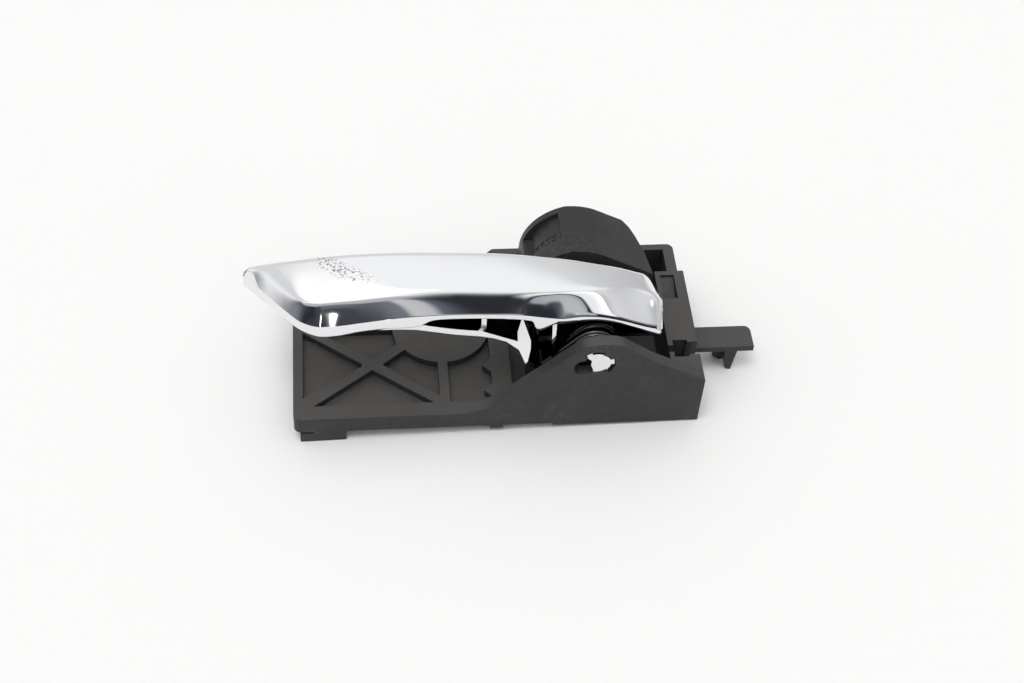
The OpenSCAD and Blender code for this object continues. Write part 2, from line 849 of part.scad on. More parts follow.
module lever_hub() {
    translate([pivot_x, 0, pivot_z])
        rotate([-90, 0, 0])
            rotate_extrude()
                polygon([
                    [0, trunnion_y],
                    [trunnion_r, trunnion_y],
                    [trunnion_r, front_t + side_gap],
                    [shoulder_r, front_t + side_gap],
                    [shoulder_r, flange_y],
                    [hub_r, flange_y],
                    [hub_r, flange_y + flange_disc],
                    [barrel_r, flange_y + flange_disc],
                    [barrel_r, hub_end - flange_disc],
                    [hub_r - 1, hub_end - flange_disc],
                    [hub_r - 1, hub_end],
                    [0, hub_end]
                ]);
}

// Wings at the trunnion's end, and the part of the end that is cut away at its left
module trunnion_wings() {
    along_y(trunnion_y, trunnion_y + wing_t)
        translate([pivot_x, pivot_z])
            intersection() {
                circle(wing_r);
                for (w = wing_angles)
                    wedge(w[0], w[1]);
            }
}

// Each point is [distance right of the pivot, height above the pivot]
cut_line = [
    [-6, 2.6], [-3.1, 2.6], [-1.6, 1.1], [-1.7, -0.7], [-0.9, -2.9], [-1.2, -6], [-6, -6]
];

module trunnion_cut() {
    along_y(trunnion_y - eps, front_t)
        translate([pivot_x, pivot_z])
            polygon(cut_line);
}

// Arm that pulls the cable, with a keyed socket for the cable's end
pull_r = 14.8;
socket_r = 2.1;
socket_wall = 1.7;
socket_skin = 1.2;
key_w = 1.6;
key_h = 1.4;
arm_root = 5;

module pull_arm() {
    along_y(seat_y - pull_t / 2, seat_y + pull_t / 2) {
        translate([pivot_x, pivot_z - pull_r])
            circle(socket_r + socket_wall);
        polygon([
            [pivot_x - arm_root, pivot_z],
            [pivot_x + arm_root, pivot_z],
            [pivot_x + socket_r + socket_wall, pivot_z - pull_r],
            [pivot_x - socket_r - socket_wall, pivot_z - pull_r]
        ]);
    }
}

module lever() {
    color("#d9dadc")
        placed()
            difference() {
                union() {
                    difference() {
                        lever_blade();
                        lever_hollow();
                    }
                    finger_flange();
                    lever_web();
                    lever_ribs();
                    lever_hub();
                    trunnion_wings();
                    pull_arm();
                }
                trunnion_cut();
                on_axis(pin_start - side_gap, hub_end + eps, hub_bore_r);
                translate([0, 0, -pull_r])
                    on_axis(seat_y - pull_t, seat_y + pull_t / 2 - socket_skin, socket_r);
                translate([pivot_x, seat_y - key_w / 2, pivot_z - pull_r - key_h / 2])
                    cube([pull_r, key_w, key_h]);
            }
}

// Lock knob: a drum with a ramp, hollow from below, on a hub of its own
knob_hub_r = 5;
skirt_angle = 212;
knob_low = -11;

// The drum's top passes over a rounded crest into the ramp
drum_shift = 0.8;
crest_x = 4;
crest_r = 17.2;

module knob_profile(shrink) {
    right = pivot_x + ramp_reach - shrink;
    crest = [pivot_x - crest_x, pivot_z + knob_top - crest_r];
    ramp_top = point_at(crest, crest_r - shrink, 90 - ramp_angle);
    intersection() {
        union() {
            translate([pivot_x - drum_shift, pivot_z - drum_shift])
                circle(drum_r - shrink);
            polygon([
                [pivot_x, pivot_z + drum_r],
                [right, pivot_z + drum_r],
                [right, pivot_z + knob_low],
                [pivot_x, pivot_z + knob_low]
            ]);
        }
        polygon(concat(
            [[pivot_x - 2 * drum_r, pivot_z + knob_top - shrink]],
            arc(crest, crest_r - shrink, 90, 90 - ramp_angle, 8),
            [
                [right, ramp_top[1] - (right - ramp_top[0]) * tan(ramp_angle)],
                [right, pivot_z + knob_low],
                [pivot_x, pivot_z + knob_low],
                point_at([pivot_x, pivot_z], knob_hub_r + 3, skirt_angle),
                point_at([pivot_x, pivot_z], 2 * drum_r, skirt_angle)
            ]
        ));
    }
}

thumb_a = 6;
thumb_x = pivot_x - 7.5;
thumb_low = 4;

module thumb_recess() {
    intersection() {
        difference() {
            on_axis(knob_y + thumb_a, knob_end - skin_t, drum_r + 2 * drum_shift);
            on_axis(knob_y, knob_end, drum_r - thumb_d);
        }
        translate([thumb_x - drum_r, knob_y, pivot_z + thumb_low])
            cube([drum_r, knob_w, drum_r]);
    }
}

// Right side of the knob as seen from above
// Each point is [distance back from the reach of the ramp, share of the knob's width]
side_line = [[0, -0.1], [0, 0], [1.5, 0.43], [3.6, 0.73], [5.2, 0.9], [7.6, 1.02]];

module knob_side() {
    translate([0, 0, pivot_z - 2 * drum_r])
        linear_extrude(4 * drum_r)
            polygon(concat(
                [for (q = side_line) [pivot_x + ramp_reach - q[0], knob_y + q[1] * knob_w]],
                [[pivot_x + 2 * ramp_reach, knob_end + 1], [pivot_x + 2 * ramp_reach, knob_y - 1]]
            ));
}

module lock_knob() {
    color("#454445")
        placed()
            difference() {
                union() {
                    difference() {
                        along_y(knob_y, knob_end)
                            knob_profile(0);
                        along_y(knob_y + skin_t, knob_end - skin_t)
                            difference() {
                                knob_profile(skin_t + thumb_d);
                                translate([pivot_x - 1, pivot_z])
                                    square([2, drum_r]);
                            }
                    }
                    on_axis(knob_y - hub_face, knob_end + ear_face, knob_hub_r);
                    lock_arm();
                }
                thumb_recess();
                on_axis(knob_y - 1, knob_end + 1, hub_bore_r);
                knob_side();
                translate([0, 0, -lock_r])
                    on_axis(knob_y, knob_end, eye_r);
            }
}

// Arm of the lock knob, with an eye for the lock rod
lock_r = 15;
eye_r = 1.6;
lock_t = 4;
eye_wall = 1.8;
lock_root = 4;

module lock_arm() {
    along_y(lock_y - lock_t / 2, lock_y + lock_t / 2) {
        translate([pivot_x, pivot_z - lock_r])
            circle(eye_r + eye_wall);
        polygon([
            [pivot_x - lock_root, pivot_z],
            [pivot_x + lock_root, pivot_z],
            [pivot_x + eye_r + eye_wall, pivot_z - lock_r],
            [pivot_x - eye_r - eye_wall, pivot_z - lock_r]
        ]);
    }
}

// Steel pin, pushed in from behind until its head meets the rear ear
pin_bevel = 0.4;

module pivot_pin() {
    color("#b9babb")
        placed()
            translate([pivot_x, 0, pivot_z])
                rotate([-90, 0, 0])
                    rotate_extrude()
                        polygon([
                            [0, pin_start],
                            [pin_r - pin_bevel, pin_start],
                            [pin_r, pin_start + pin_bevel],
                            [pin_r, base_w],
                            [pin_head_r, base_w],
                            [pin_head_r, base_w + pin_head_t - pin_bevel],
                            [pin_head_r - pin_bevel, base_w + pin_head_t],
                            [0, base_w + pin_head_t]
                        ]);
}

module ring_on_pin(a, b, r) {
    placed()
        difference() {
            on_axis(a, b, r);
            on_axis(a - 1, b + 1, hub_bore_r);
        }
}

// Washer between the knob and the rear ear
module knob_washer() {
    color("#c9c9c6")
        ring_on_pin(ear_y - side_gap / 2 - washer_t, ear_y - side_gap / 2, washer_r);
}

// Plastic sleeve between the lever's hub and the knob's hub
sleeve_wall = 1.6;

module spacer_sleeve() {
    color("#d8d6cc")
        ring_on_pin(hub_end + side_gap / 2, hub_end + side_gap / 2 + sleeve_l, pin_r + sleeve_wall);
}

// Return spring of the lever: a coil about the trunnion with two legs
coil_steps = 18;
coil_y0 = front_t + side_gap + wire_d / 2 + eps / 2;
coil_y1 = flange_y - side_gap - wire_d / 2;
// Place where the leg that moves with the lever crosses the flange
leg_share = -0.149;
leg_drop = 7.6;
leg_end = [reach(leg_share), pivot_z - leg_drop];
leg_run = 5;
coil_a = 135;
coil_total = 360 * spring_turns - coil_a;
function coil_point(i) =
    let (t = i / (coil_steps * spring_turns), a = coil_a - coil_total * t)
    [pivot_x + spring_r * cos(a), coil_y1 + (coil_y0 - coil_y1) * t, pivot_z + spring_r * sin(a)];
spring_path = concat(
    [[leg_end[0], coil_y1 + leg_run, leg_end[1]], [leg_end[0], coil_y1 + wire_d / 2, leg_end[1]]],
    [[leg_end[0] + wire_d / 2, coil_y1, leg_end[1] + wire_d / 2]],
    [for (i = [0 : coil_steps * spring_turns]) coil_point(i)],
    [[leg_x, coil_y0, pivot_z - 8], [leg_x, coil_y0, floor_z + 2]]
);

function unit(v) = v / norm(v);
function turn_dir(p, i) = unit(p[min(i + 1, len(p) - 1)] - p[max(i - 1, 0)]);
function side_dir(d, prev) = unit(prev - (prev * d) * d);
function frames(p, i = 0, prev = [0, 0, 1]) =
    i >= len(p) ? [] :
    let (d = turn_dir(p, i), s = side_dir(d, prev))
    concat([[p[i], s, cross(d, s)]], frames(p, i + 1, s));

module wire(path, d, sides = 8) {
    f = frames(path);
    m = len(f);
    polyhedron(
        points = [for (q = f) for (j = [0 : sides - 1])
            q[0] + d / 2 * (q[1] * cos(360 * j / sides) + q[2] * sin(360 * j / sides))],
        faces = concat(
            [[for (j = [0 : sides - 1]) j]],
            [for (i = [0 : m - 2]) for (j = [0 : sides - 1])
                let (k = (j + 1) % sides)
                [i * sides + j, (i + 1) * sides + j, (i + 1) * sides + k, i * sides + k]],
            [[for (j = [0 : sides - 1]) (m - 1) * sides + sides - 1 - j]]
        )
    );
}

module lever_spring() {
    color("#a7a8a6")
        placed()
            wire(spring_path, wire_d);
}

// Leaf of spring steel that holds the knob in its two positions
leaf_end_h = 2.4;
leaf_flat = 4.5;
hump_x = 6;
hump_h = 7.4;
hook_back = 1.6;
hook_down = 2;

module detent_leaf() {
    z = floor_z + side_gap;
    left = leaf_x + side_gap;
    right = leaf_x + leaf_l - side_gap;
    hump = [leaf_x + hump_x, z + hump_h];
    color("#9fa0a2")
        placed()
            along_y(leaf_y, leaf_y + leaf_w)
                polygon([
                    [left, z],
                    [right, z],
                    [right, z + leaf_end_h],
                    [right - leaf_t, z + leaf_end_h],
                    [right - leaf_t, z + leaf_t],
                    [right - leaf_flat + leaf_t, z + leaf_t],
                    hump,
                    [hump[0] - hook_back, hump[1] - hook_down],
                    [hump[0] - hook_back + leaf_t, hump[1] - hook_down - leaf_t / 2],
                    [hump[0], hump[1] - 1.5 * leaf_t],
                    [right - leaf_flat - leaf_t / 2, z + leaf_t],
                    [left, z + leaf_t]
                ]);
}

// Rubber cap on the post under the lever
cap_gap = 0.05;
cap_air = 0.1;

module lever_stop() {
    color("#1d1d1f")
        placed()
            difference() {
                translate([stop_x, stop_y, stop_top - stop_t + cap_gap])
                    cylinder(r = stop_r, h = stop_t - cap_gap);
                translate([stop_x, stop_y, 0])
                    cylinder(r = stop_post_r + cap_gap, h = stop_top - stop_skin + cap_air);
            }
}

// Rubber block on the floor under the knob's skirt
knob_stop_x = pivot_x - 10.4;
knob_stop_size = [4, rear_gap * 0.37, 9];

module knob_stop() {
    color("#1d1d1f")
        placed()
            translate([knob_stop_x, knob_stop_y, floor_z])
                cube(knob_stop_size);
}

housing();
lever();
lock_knob();
pivot_pin();
knob_washer();
spacer_sleeve();
lever_spring();
detent_leaf();
lever_stop();
knob_stop();
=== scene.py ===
import math

import bmesh
import bpy
from mathutils import Matrix, Vector


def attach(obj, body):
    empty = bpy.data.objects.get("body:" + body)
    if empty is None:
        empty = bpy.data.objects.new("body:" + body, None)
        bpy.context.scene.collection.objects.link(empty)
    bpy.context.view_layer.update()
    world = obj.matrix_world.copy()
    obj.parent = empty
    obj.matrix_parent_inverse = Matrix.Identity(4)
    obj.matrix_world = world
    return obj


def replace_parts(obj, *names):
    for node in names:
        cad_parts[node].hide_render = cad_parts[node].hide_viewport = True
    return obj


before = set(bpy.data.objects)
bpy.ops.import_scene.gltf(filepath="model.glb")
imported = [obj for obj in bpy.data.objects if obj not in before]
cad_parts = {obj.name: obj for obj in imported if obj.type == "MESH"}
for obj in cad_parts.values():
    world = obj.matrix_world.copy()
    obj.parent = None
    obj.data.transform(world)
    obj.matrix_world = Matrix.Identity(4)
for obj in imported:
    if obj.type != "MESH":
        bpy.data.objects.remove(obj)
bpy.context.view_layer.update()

# Camera
# It looks down at the handle from the front, a little from the left, as the photograph does.
# Its place and focal length were solved from the housing's straight edges.
MM = 0.001
PHOTO_WIDTH = 1024
SENSOR_WIDTH = 36
NEAREST_SEEN = 10 * MM
FOCAL_PIXELS = 1700
LOOK_AT = Vector((20.08, -11.09, 10)) * MM
LOOK_FROM = 494.44 * MM
LOOK_DOWN = math.radians(49.53)
LOOK_ROUND = math.radians(-8.23)
LOOK_ROLL = math.radians(4.35)


def place_camera():
    back = Vector((
        math.sin(LOOK_ROUND) * math.cos(LOOK_DOWN),
        -math.cos(LOOK_ROUND) * math.cos(LOOK_DOWN),
        math.sin(LOOK_DOWN),
    ))
    right = Vector((0, 0, 1)).cross(back).normalized()
    up = back.cross(right)
    rolled_right = math.cos(LOOK_ROLL) * right + math.sin(LOOK_ROLL) * up
    rolled_up = math.cos(LOOK_ROLL) * up - math.sin(LOOK_ROLL) * right
    data = bpy.data.cameras.new("camera")
    data.sensor_width = SENSOR_WIDTH
    data.lens = data.sensor_width * FOCAL_PIXELS / PHOTO_WIDTH
    data.clip_start = NEAREST_SEEN
    camera = bpy.data.objects.new("camera", data)
    bpy.context.scene.collection.objects.link(camera)
    turn = Matrix((rolled_right, rolled_up, back)).transposed().to_4x4()
    camera.matrix_world = Matrix.Translation(LOOK_AT + back * LOOK_FROM) @ turn
    bpy.context.scene.camera = camera


place_camera()

# Table and light
# The handle rests on its hooks at the left and on its end tab's prongs at the right, so the
# white table top slopes a little against the housing. The room is bright above and behind,
# and dark low down where the camera stands, which the plating mirrors.
HOOK_EDGE = Vector((-41.7, 0, -4.3)) * MM
PRONG_TIP = Vector((84.6, 0, -0.8)) * MM
TABLE_WHITE = (0.892, 0.89, 0.887, 1)
TABLE_HALF = 3
TABLE_GAP = 0.02 * MM
TABLE_SHINE = 0.2
PIT_DEPTH = 0.02 * MM


def new_material(name):
    material = bpy.data.materials.new(name)
    material.use_nodes = True
    return material, material.node_tree.nodes, material.node_tree.links


def noise(nodes, links, scale, detail=4.0, stretch=(1, 1, 1)):
    coordinate = nodes.new("ShaderNodeTexCoord")
    mapping = nodes.new("ShaderNodeMapping")
    mapping.inputs["Scale"].default_value = stretch
    texture = nodes.new("ShaderNodeTexNoise")
    texture.inputs["Scale"].default_value = scale
    texture.inputs["Detail"].default_value = detail
    links.new(coordinate.outputs["Object"], mapping.inputs["Vector"])
    links.new(mapping.outputs[0], texture.inputs["Vector"])
    return texture.outputs["Fac"]


# A smooth step: it gives out_low up to low, and out_high from high on
def ramp(nodes, links, source, low, high, out_low, out_high):
    stretch = nodes.new("ShaderNodeMapRange")
    stretch.interpolation_type = "SMOOTHSTEP"
    stretch.inputs["From Min"].default_value = low
    stretch.inputs["From Max"].default_value = high
    stretch.inputs["To Min"].default_value = out_low
    stretch.inputs["To Max"].default_value = out_high
    links.new(source, stretch.inputs["Value"])
    return stretch.outputs[0]


def compute(nodes, links, kind, a, b=None):
    node = nodes.new("ShaderNodeMath")
    node.operation = kind
    for place, value in enumerate((a, b)):
        if isinstance(value, (int, float)):
            node.inputs[place].default_value = value
        elif value is not None:
            links.new(value, node.inputs[place])
    return node.outputs[0]


def bump(nodes, links, height, distance, strength=1.0, under=None):
    node = nodes.new("ShaderNodeBump")
    node.inputs["Strength"].default_value = strength
    node.inputs["Distance"].default_value = distance
    links.new(height, node.inputs["Height"])
    if under is not None:
        links.new(under, node.inputs["Normal"])
    return node.outputs[0]


def make_table():
    slope = (PRONG_TIP.z - HOOK_EDGE.z) / (PRONG_TIP.x - HOOK_EDGE.x)
    mesh = bpy.data.meshes.new("table")
    corners = [
        (x * TABLE_HALF, y * TABLE_HALF, HOOK_EDGE.z + slope * (x * TABLE_HALF - HOOK_EDGE.x) - TABLE_GAP)
        for x, y in ((-1, -1), (1, -1), (1, 1), (-1, 1))
    ]
    mesh.from_pydata(corners, [], [(0, 1, 2, 3)])
    table = bpy.data.objects.new("table", mesh)
    bpy.context.scene.collection.objects.link(table)
    material, nodes, links = new_material("white_table")
    shader = nodes["Principled BSDF"]
    shader.inputs["Base Color"].default_value = TABLE_WHITE
    shader.inputs["Specular IOR Level"].default_value = TABLE_SHINE
    smears = noise(nodes, links, scale=300)
    links.new(ramp(nodes, links, smears, 0.3, 0.7, 0.55, 0.7), shader.inputs["Roughness"])
    pits = noise(nodes, links, scale=900, detail=2)
    links.new(bump(nodes, links, pits, PIT_DEPTH), shader.inputs["Normal"])
    mesh.materials.append(material)


make_table()

ROOM_BRIGHT = 0.79
ROOM_DARK = 0.035
BRIGHT_ROUND = 80
BRIGHT_UP = 27
DARK_BEYOND = 120.5
BRIGHT_WITHIN = 98.5
SHADE_TINT = (0.8, 0.84, 1, 1)
LIGHT_TINT = (0.99, 0.985, 0.98, 1)
LIGHT_TINT_FROM = 0.7
# Each glow is [degrees round from the right towards the back, degrees up, degrees from its
# middle where it starts, degrees where it is full, level]
GLOWS = (
    (-20, 83.5, 42.5, 22.5, 0.26),  # overhead, wide
    (178.5, 70, 16.5, 0, 0.18),  # overhead, towards the left
    (-130.5, 74, 16, 6, 6.5),  # the strong one overhead, by which the handle is lit
    (-64, 29.5, 13, 10, 0.93),  # front right, half way up
    (-79.5, 16, 6.5, 5.5, 0.38),  # front, a little right, low
    (-160.5, -7, 49.5, 1, 0.25),  # left, near the table, very wide
    (27.5, -1.5, 31.5, 23, 0.24),  # right, towards the back, near the table
    (-111, 35.5, 25, 18, 0.5),  # front left, half way up
    (-86.5, 13, 13.5, 7, 0.15),  # front, low, faint
    (-89.5, 17.5, 5.5, 2, 0.4),  # front, low, small
    (-98, 10.5, 14, 7, 0.04),  # front, a little left, low, faint
    (17.5, -4.5, 70, 22, -0.26),  # a shade over the whole right side
)


def light_room():
    world = bpy.data.worlds.new("room")
    bpy.context.scene.world = world
    world.use_nodes = True
    nodes, links = world.node_tree.nodes, world.node_tree.links
    coordinate = nodes.new("ShaderNodeTexCoord")

    def around(turned, up, start, full, dark, bright):
        turned, up = math.radians(turned), math.radians(up)
        product = nodes.new("ShaderNodeVectorMath")
        product.operation = "DOT_PRODUCT"
        links.new(coordinate.outputs["Generated"], product.inputs[0])
        product.inputs[1].default_value = (
            math.cos(up) * math.cos(turned), math.cos(up) * math.sin(turned), math.sin(up)
        )
        low, high = math.cos(math.radians(start)), math.cos(math.radians(full))
        return ramp(nodes, links, product.outputs["Value"], low, high, dark, bright)

    light = around(BRIGHT_ROUND, BRIGHT_UP, DARK_BEYOND, BRIGHT_WITHIN, ROOM_DARK, ROOM_BRIGHT)
    for turned, up, start, full, level in GLOWS:
        glow = around(turned, up, start, full, 0, level)
        light = compute(nodes, links, "ADD", light, glow)
    shade = nodes["Background"]
    tint = nodes.new("ShaderNodeMixRGB")
    tint.inputs[1].default_value = SHADE_TINT
    tint.inputs[2].default_value = LIGHT_TINT
    links.new(ramp(nodes, links, light, 0, LIGHT_TINT_FROM, 0, 1), tint.inputs[0])
    links.new(tint.outputs[0], shade.inputs["Color"])
    links.new(light, shade.inputs["Strength"])


LAMP_PLACE = Vector((-0.147, -1.4, 0.05))
LAMP_WIDTH = 20 * MM
LAMP_HEIGHT = 42 * MM
LAMP_LEVEL = 9


def hang_small_lamp():
    data = bpy.data.lights.new("small_lamp", "AREA")
    data.shape = "RECTANGLE"
    data.size, data.size_y = LAMP_WIDTH, LAMP_HEIGHT
    data.energy = LAMP_LEVEL * math.pi * LAMP_WIDTH * LAMP_HEIGHT
    light = bpy.data.objects.new("small_lamp", data)
    bpy.context.scene.collection.objects.link(light)
    light.location = LAMP_PLACE
    light.rotation_euler = (LAMP_PLACE - LOOK_AT).to_track_quat("Z", "Y").to_euler()


light_room()
hang_small_lamp()
bpy.context.scene.view_settings.view_transform = "Standard"

# Housing
# One black moulding, straight from the tool, with a fine spark texture all over, rounded
# edges, dull rubbed spots and a lighter dust-grey film on what faces up, which is painted top
# light, partly dust. It carries everything else and is held in the door by a screw, two hooks and a tab.
# The dust-grey that lightens upward faces is painted light from above, partly dust.
DUST_AND_TOP_LIGHT = (0.076, 0.073, 0.07, 1)
TOP_LIGHT_FROM_SLOPE = 0.75
HOUSING_BLACK = (0.038, 0.037, 0.0375, 1)
HOUSING_RUBBED = (0.075, 0.073, 0.073, 1)
SATIN_SHINE = 0.25
SINK_WAVES = 120
SINK_DEPTH = 0.12 * MM
GRAIN_STRENGTH = 0.8
WELD = 0.002 * MM
ROUNDED_FROM_ANGLE = 24
SHARP_FROM_ANGLE = 32


def link(name, mesh):
    piece = bpy.data.objects.new(name, mesh)
    bpy.context.scene.collection.objects.link(piece)
    return piece


def smooth_by_angle(work, degrees):
    limit = math.radians(degrees)
    for face in work.faces:
        face.smooth = True
    for edge in work.edges:
        if len(edge.link_faces) != 2 or edge.calc_face_angle(0) > limit:
            edge.smooth = False


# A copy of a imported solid: flat is the angle in degrees under which faces are joined, and
# round_off the width in mm of its rounded edges
def cad_copy(name, node, flat, round_off, keep=None, reshape=None):
    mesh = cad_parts[node].data.copy()
    mesh.materials.clear()
    work = bmesh.new()
    work.from_mesh(mesh)
    bmesh.ops.remove_doubles(work, verts=work.verts, dist=WELD)
    if keep is not None:
        bmesh.ops.delete(work, geom=[f for f in work.faces if not keep(f)], context="FACES")
    joined = math.radians(flat)
    bmesh.ops.dissolve_limit(work, angle_limit=joined, verts=work.verts, edges=work.edges)
    if reshape is not None:
        reshape(work)
    for face in work.faces:
        face.smooth = True
    work.to_mesh(mesh)
    work.free()
    for attribute in ("sharp_edge", "custom_normal"):
        if attribute in mesh.attributes:
            mesh.attributes.remove(mesh.attributes[attribute])
    piece = link(name, mesh)
    if round_off:
        rounding = piece.modifiers.new("rounded_edges", "BEVEL")
        rounding.width = round_off * MM
        rounding.segments = 2
        rounding.limit_method = "ANGLE"
        rounding.angle_limit = math.radians(ROUNDED_FROM_ANGLE)
        rounding.harden_normals = True
        rounding.use_clamp_overlap = True
    return piece


def bake(piece, degrees=SHARP_FROM_ANGLE):
    shown = piece.evaluated_get(bpy.context.evaluated_depsgraph_get())
    mesh = bpy.data.meshes.new_from_object(shown)
    piece.modifiers.clear()
    work = bmesh.new()
    work.from_mesh(mesh)
    smooth_by_angle(work, degrees)
    work.to_mesh(mesh)
    work.free()
    piece.data = mesh
    return piece


def moulded_plastic(name, colour, rough, grain, depth, rubbed, top_light_and_dust=0.0):
    material, nodes, links = new_material(name)
    shader = nodes["Principled BSDF"]
    cloud = noise(nodes, links, scale=70)
    fine = noise(nodes, links, scale=700, detail=6)
    wear = compute(
        nodes, links, "MULTIPLY",
        ramp(nodes, links, cloud, 0.45, 0.75, 0, 1), ramp(nodes, links, fine, 0.4, 0.7, 0, 1),
    )
    tint = nodes.new("ShaderNodeMixRGB")
    tint.inputs[1].default_value = colour
    tint.inputs[2].default_value = rubbed
    links.new(wear, tint.inputs[0])
    # Faces turned upward get a lighter dust-grey film: painted light from above, partly dust.
    facing = nodes.new("ShaderNodeTexCoord")
    split = nodes.new("ShaderNodeSeparateXYZ")
    links.new(facing.outputs["Normal"], split.inputs[0])
    patchy_top_light = ramp(nodes, links, cloud, 0.3, 0.7, 0.8 * top_light_and_dust, top_light_and_dust)
    upward = ramp(nodes, links, split.outputs["Z"], TOP_LIGHT_FROM_SLOPE, 1, 0, 1)
    top_light = compute(nodes, links, "MULTIPLY", upward, patchy_top_light)
    top_lit = nodes.new("ShaderNodeMixRGB")
    top_lit.inputs[2].default_value = DUST_AND_TOP_LIGHT
    links.new(tint.outputs[0], top_lit.inputs[1])
    links.new(top_light, top_lit.inputs[0])
    links.new(top_lit.outputs[0], shader.inputs["Base Color"])
    links.new(ramp(nodes, links, fine, 0.3, 0.7, rough - 0.07, rough + 0.09), shader.inputs["Roughness"])
    shader.inputs["Specular IOR Level"].default_value = SATIN_SHINE
    waves = bump(nodes, links, noise(nodes, links, SINK_WAVES, detail=2), SINK_DEPTH)
    texture = noise(nodes, links, grain, detail=3)
    links.new(bump(nodes, links, texture, depth, GRAIN_STRENGTH, waves), shader.inputs["Normal"])
    return material


def make_housing():
    piece = bake(cad_copy("moulded_housing", "housing", flat=1.0, round_off=0.35))
    piece.data.materials.append(moulded_plastic(
        "housing_black", HOUSING_BLACK, rough=0.5, grain=2400, depth=0.05 * MM,
        rubbed=HOUSING_RUBBED, top_light_and_dust=1.0,
    ))
    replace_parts(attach(piece, "housing"), "housing")


make_housing()

# Lever
# A zinc casting, polished and plated: a hollow blade with an upright lip, a sloping side and
# a tilted top, one thin flange on the finger side, a hub and an arm. It is bright all over,
# and its top is rubbed and finely scratched near the tip. The pin holds it in the housing.
SCREW_X = 43.4
SCREW_Y = 33.8
PIVOT_X = 84.5
PIVOT_Z = 25.8
REACH = 96.5
TAIL = 18.9
FRONT_Y = 7.3
REAR_Y = 24.6
LIP = 2.3
SLOPE = 3.6
CROWN = 0.6
REAR_ROUND = 2.2
TAIL_END = TAIL / REACH
# All places are in mm from the housing's front left corner, where the screw stands at SCREW_X
# and SCREW_Y. Each point is [share of the reach from the pivot, height above the pivot].
RIDGE = (
    (-1, 14.6), (-0.99, 16.3), (-0.97, 17.7), (-0.94, 18.8), (-0.9, 19.7), (-0.85, 20.6),
    (-0.79, 21.5), (-0.72, 22.3), (-0.6, 22.8), (-0.41, 22.3), (-0.26, 21.2), (-0.13, 19.3),
    (-0.06, 18), (0, 16.4), (0.38 * TAIL_END, 14.4), (0.66 * TAIL_END, 12.4),
    (0.78 * TAIL_END, 11.5), (0.87 * TAIL_END, 9.7), (TAIL_END, 5.6),
)
CREASE = (
    (-1, 13.4), (-0.98, 15), (-0.96, 15.9), (-0.92, 16.2), (-0.81, 16.6), (-0.7, 17.4),
    (-0.56, 19), (-0.42, 19.3), (-0.28, 18.6), (-0.14, 17.9), (-0.06, 17.6), (0, 17),
    (0.46 * TAIL_END, 14.9), (0.84 * TAIL_END, 12.4), (TAIL_END, 10.8),
)
LIP_TOP = (
    (-1, 12.2), (-0.96, 12.8), (-0.92, 12.8), (-0.88, 12.2), (-0.84, 11.3), (-0.79, 10.1),
    (-0.74, 10.3), (-0.67, 11.9), (-0.56, 13.6), (-0.45, 14.3), (-0.34, 14.1), (-0.22, 13.2),
    (-0.15, 11.6), (-0.1, 10.8), (-0.04, 11.2), (0.04 * TAIL_END, 11.1), (0.35 * TAIL_END, 9.6),
    (0.66 * TAIL_END, 7.1), (0.9 * TAIL_END, 4.9), (TAIL_END, 4.4),
)
# Each point is [share of the reach, distance in from the lever's front or rear edge]
FRONT_IN = (
    (-1, 17), (-0.993, 16.2), (-0.975, 14.6), (-0.94, 11), (-0.91, 7.7), (-0.88, 4.6), (-0.85, 2),
    (-0.82, 0.7), (-0.78, 0), (0, 0), (0.7 * TAIL_END, 0), (0.93 * TAIL_END, 0.2),
    (0.97 * TAIL_END, 0.5), (TAIL_END, 1.2),
)
REAR_IN = (
    (-1, -0.3), (-0.993, -0.9), (-0.97, -1), (-0.92, -0.5), (-0.8, 0), (0, 0.4),
    (0.8 * TAIL_END, 0.7), (0.9 * TAIL_END, 1.3), (0.96 * TAIL_END, 2.6), (TAIL_END, 5.6),
)
# Each point is [share of the reach, radius above the lip, height added to the lip or flap below it]
LIP_ROLL = ((-1, 0.2), (-0.1, 0.3), (-0.03, 0.9), (TAIL_END, 1.1))
LIP_RISE = (
    (-1, 0.6), (-0.93, 0.5), (-0.87, 0.45), (-0.82, 0.36), (-0.76, 0.38), (-0.7, 0.15), (-0.62, 0),
    (TAIL_END, 0),
)
FLAP = ((-1, 0), (-0.186, 0), (-0.175, 2.6), (-0.16, 3.4), (-0.14, 1.9), (-0.118, 0), (TAIL_END, 0))
END_ROUND = 1.9
DECK_SOFTNESS = 1.0
SLOPE_SOFTNESS = 0.5
WIDEST_SLOPE = 0.45
LEAST_FACE = 0.05
NOSE = 0.5
LIP_WALL = 1.2
WALL_RISE = 0.3
LEAST_RISE = 0.2
STATIONS = 300
ACROSS = 70
CROWDED_TO_FRONT = 1.6
ROUND_FROM = 0.86
ROUND_STEPS = 12
FIRST_STEP = 0.004
BLADE_SHARP_FROM = 40
# Each point is [share of the reach, share of the slope's width or of the lip's height]
SLOPE_SHARE = (
    (-1, 0.4), (-0.97, 0.5), (-0.93, 0.75), (-0.8, 0.8), (-0.6, 0.85), (-0.4, 1), (-0.2, 1),
    (-0.06, 1.15), (0.1 * TAIL_END, 1.4), (0.6 * TAIL_END, 2), (TAIL_END, 1.6),
)
LIP_SHARE = (
    (-1, 1), (-0.96, 1.4), (-0.92, 1.4), (-0.85, 1.35), (-0.79, 1.5), (-0.72, 1.55), (-0.65, 1.6),
    (-0.6, 1.75), (-0.54, 2.05), (-0.505, 1.9), (-0.475, 1.2), (-0.44, 1), (-0.1, 0.9),
    (0.3 * TAIL_END, 0.7), (TAIL_END, 0.95),
)


